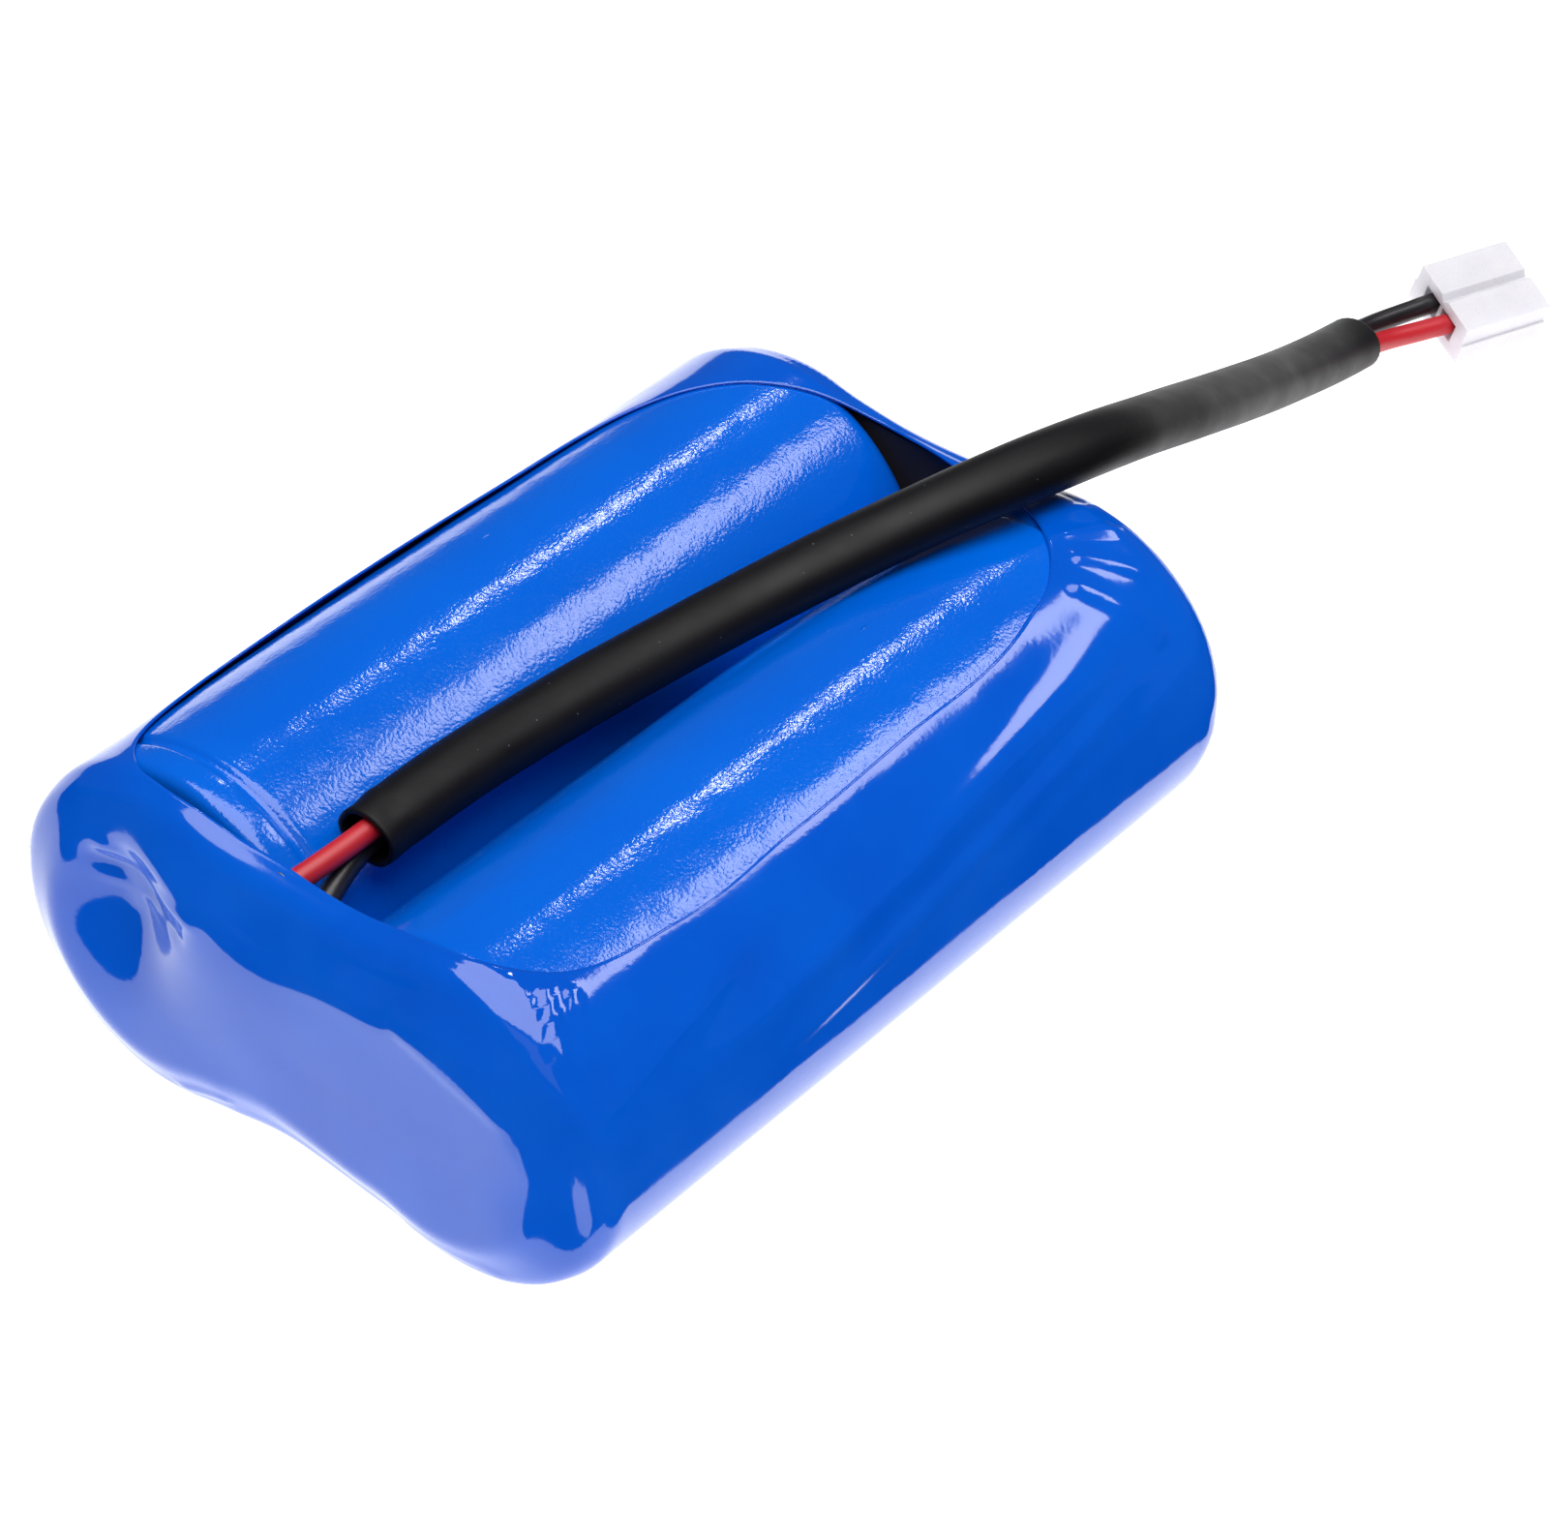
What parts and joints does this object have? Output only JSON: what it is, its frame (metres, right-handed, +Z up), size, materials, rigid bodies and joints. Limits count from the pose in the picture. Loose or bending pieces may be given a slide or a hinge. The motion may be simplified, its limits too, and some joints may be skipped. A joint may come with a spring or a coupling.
{
  "type": "battery pack",
  "caption": "Flat cylindrical-cell battery pack in blue shrink film, with a sleeved red and black lead ending in a small white plug.",
  "frame": {"origin": "middle of the pack's underside, without its lead", "axes": "+X along the cells towards the far end that the lead leaves over, +Y across them towards cell a, +Z up"},
  "size_m": [0.1434, 0.053, 0.0315],
  "materials": {
    "nickel_steel": "nickel-plated steel, satin",
    "electrode_winding": "wound electrode foils and separator, matte",
    "white_disc": "insulating paper and plastic disc, matte",
    "black_seal": "moulded polypropylene seal",
    "aluminium_foil": "plain aluminium",
    "nickel_strip": "pure nickel strip, satin",
    "solder": "tin solder, bright",
    "cell_jacket": "heat-shrunk PVC, glossy with a fine grain",
    "blue_film": "heat-shrunk PVC film, glossy",
    "hot_glue": "hot-melt glue",
    "end_paper": "black insulating paper",
    "red_insulation": "red PVC insulation",
    "black_insulation": "black PVC insulation",
    "black_sleeve": "black polyolefin shrink sleeve, satin",
    "plug_plastic": "natural white nylon, slightly translucent",
    "tinned_contact": "tinned phosphor bronze"
  },
  "bodies": {
    "root": {"cell_a_can": "nickel_steel", "cell_a_winding": "electrode_winding", "cell_a_base_insulator": "white_disc", "cell_a_top_insulator": "white_disc", "cell_a_gasket": "black_seal", "cell_a_vent_disc": "aluminium_foil", "cell_a_cap": "nickel_steel", "cell_a_plus_tab": "aluminium_foil", "cell_a_minus_tab": "nickel_strip", "cell_a_washer": "white_disc", "cell_a_jacket": "cell_jacket", "cell_b_can": "nickel_steel", "cell_b_winding": "electrode_winding", "cell_b_base_insulator": "white_disc", "cell_b_top_insulator": "white_disc", "cell_b_gasket": "black_seal", "cell_b_vent_disc": "aluminium_foil", "cell_b_cap": "nickel_steel", "cell_b_plus_tab": "aluminium_foil", "cell_b_minus_tab": "nickel_strip", "cell_b_washer": "white_disc", "cell_b_jacket": "cell_jacket", "glue_bead": "hot_glue", "positive_strip": "nickel_strip", "negative_strip": "nickel_strip", "series_link": "nickel_strip", "red_solder": "solder", "black_solder": "solder", "near_end_paper": "end_paper", "far_end_paper": "end_paper", "outer_film": "blue_film", "red_wire": "red_insulation", "black_wire": "black_insulation", "lead_sleeve": "black_sleeve", "plug_housing": "plug_plastic", "red_contact": "tinned_contact", "black_contact": "tinned_contact"}
  },
  "joints": []
}
